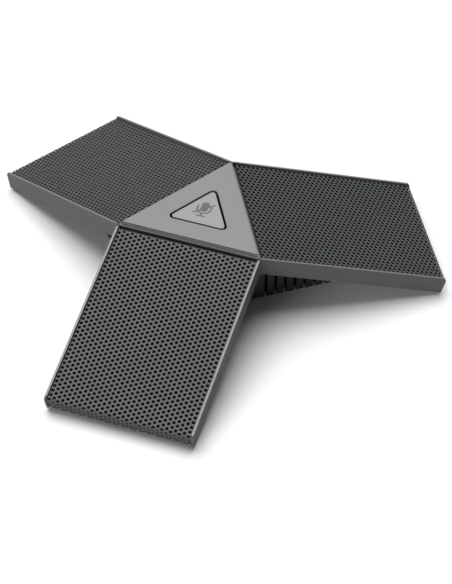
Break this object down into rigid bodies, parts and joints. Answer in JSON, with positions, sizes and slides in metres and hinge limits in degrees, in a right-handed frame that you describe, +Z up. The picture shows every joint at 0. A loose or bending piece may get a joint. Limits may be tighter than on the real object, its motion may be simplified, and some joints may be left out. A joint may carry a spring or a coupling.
{
  "type": "conference speakerphone",
  "caption": "Table conference speakerphone: flat sloping arms with perforated grilles round a raised hub with a triangular mute button, on a finned base.",
  "frame": {"origin": "on the hub's axis, on the surface that the feet stand on", "axes": "+Z up, out of the mute button; -Y along the front arm; +X to the right arm's side. The other two arms point 30 and 150 degrees from +X"},
  "size_m": [0.2874, 0.249, 0.0484],
  "materials": {
    "housing": "fine satin moulded plastic",
    "hub_plate": "fine satin moulded plastic",
    "button": "fine satin moulded plastic with a printed muted-microphone icon",
    "light_guide": "smoked translucent light guide, unlit",
    "plunger": "moulded plastic",
    "switch": "moulded plastic",
    "circuit_board": "green solder mask",
    "shield_can": "tinned steel",
    "socket": "moulded plastic",
    "base": "black moulded plastic with ribs",
    "arm_cover": "black moulded plastic",
    "foot_rubber": "matt rubber",
    "grille": "perforated steel sheet with satin grey paint",
    "acoustic_cloth": "black open-weave acoustic cloth",
    "speaker_basket": "pressed steel",
    "speaker_magnet": "ferrite magnet",
    "speaker_surround": "soft rubber",
    "speaker_cone": "coated paper",
    "mic_capsule": "drawn aluminium can",
    "mic_gasket": "soft rubber boot",
    "ribbon_cable": "flat film cable",
    "screw": "plated steel"
  },
  "bodies": {
    "housing": {"top_housing": "housing", "hub_plate": "hub_plate", "mute_light_ring": "light_guide", "mute_switch": "switch", "main_board": "circuit_board", "board_shield": "shield_can", "network_jack": "socket", "finned_base": "base", "centre_foot": "foot_rubber", "grille_front": "grille", "grille_cloth_front": "acoustic_cloth", "arm_cover_front": "arm_cover", "speaker_basket_front": "speaker_basket", "speaker_magnet_front": "speaker_magnet", "speaker_surround_front": "speaker_surround", "mic_board_front": "circuit_board", "mic_capsule_front": "mic_capsule", "mic_gasket_front": "mic_gasket", "mic_ribbon_front": "ribbon_cable", "keel_foot_front": "foot_rubber", "base_screw_front": "screw", "board_screw_front": "screw", "cover_screw_front_a": "screw", "cover_screw_front_b": "screw", "grille_right": "grille", "grille_cloth_right": "acoustic_cloth", "arm_cover_right": "arm_cover", "speaker_basket_right": "speaker_basket", "speaker_magnet_right": "speaker_magnet", "speaker_surround_right": "speaker_surround", "mic_board_right": "circuit_board", "mic_capsule_right": "mic_capsule", "mic_gasket_right": "mic_gasket", "mic_ribbon_right": "ribbon_cable", "keel_foot_right": "foot_rubber", "base_screw_right": "screw", "board_screw_right": "screw", "cover_screw_right_a": "screw", "cover_screw_right_b": "screw", "grille_left": "grille", "grille_cloth_left": "acoustic_cloth", "arm_cover_left": "arm_cover", "speaker_basket_left": "speaker_basket", "speaker_magnet_left": "speaker_magnet", "speaker_surround_left": "speaker_surround", "mic_board_left": "circuit_board", "mic_capsule_left": "mic_capsule", "mic_gasket_left": "mic_gasket", "mic_ribbon_left": "ribbon_cable", "keel_foot_left": "foot_rubber", "base_screw_left": "screw", "board_screw_left": "screw", "cover_screw_left_a": "screw", "cover_screw_left_b": "screw"},
    "button": {"mute_button": "button", "switch_plunger": "plunger"},
    "front_cone": {"speaker_cone_front": "speaker_cone"},
    "right_cone": {"speaker_cone_right": "speaker_cone"},
    "left_cone": {"speaker_cone_left": "speaker_cone"}
  },
  "joints": [
    {"name": "mute_press", "type": "slide", "parent": "housing", "child": "button", "axis": [0, 0, -1], "range_m": [0, 0.0005], "stiffness_N_per_m": 2400, "springref_m": -0.0002},
    {"name": "front_cone_stroke", "type": "slide", "parent": "housing", "child": "front_cone", "axis": [0, -0.2907, 0.9568], "range_m": [-0.0008, 0.0008], "stiffness_N_per_m": 1500},
    {"name": "right_cone_stroke", "type": "slide", "parent": "housing", "child": "right_cone", "axis": [0.2518, 0.1454, 0.9568], "range_m": [-0.0008, 0.0008], "stiffness_N_per_m": 1500},
    {"name": "left_cone_stroke", "type": "slide", "parent": "housing", "child": "left_cone", "axis": [-0.2518, 0.1454, 0.9568], "range_m": [-0.0008, 0.0008], "stiffness_N_per_m": 1500}
  ]
}
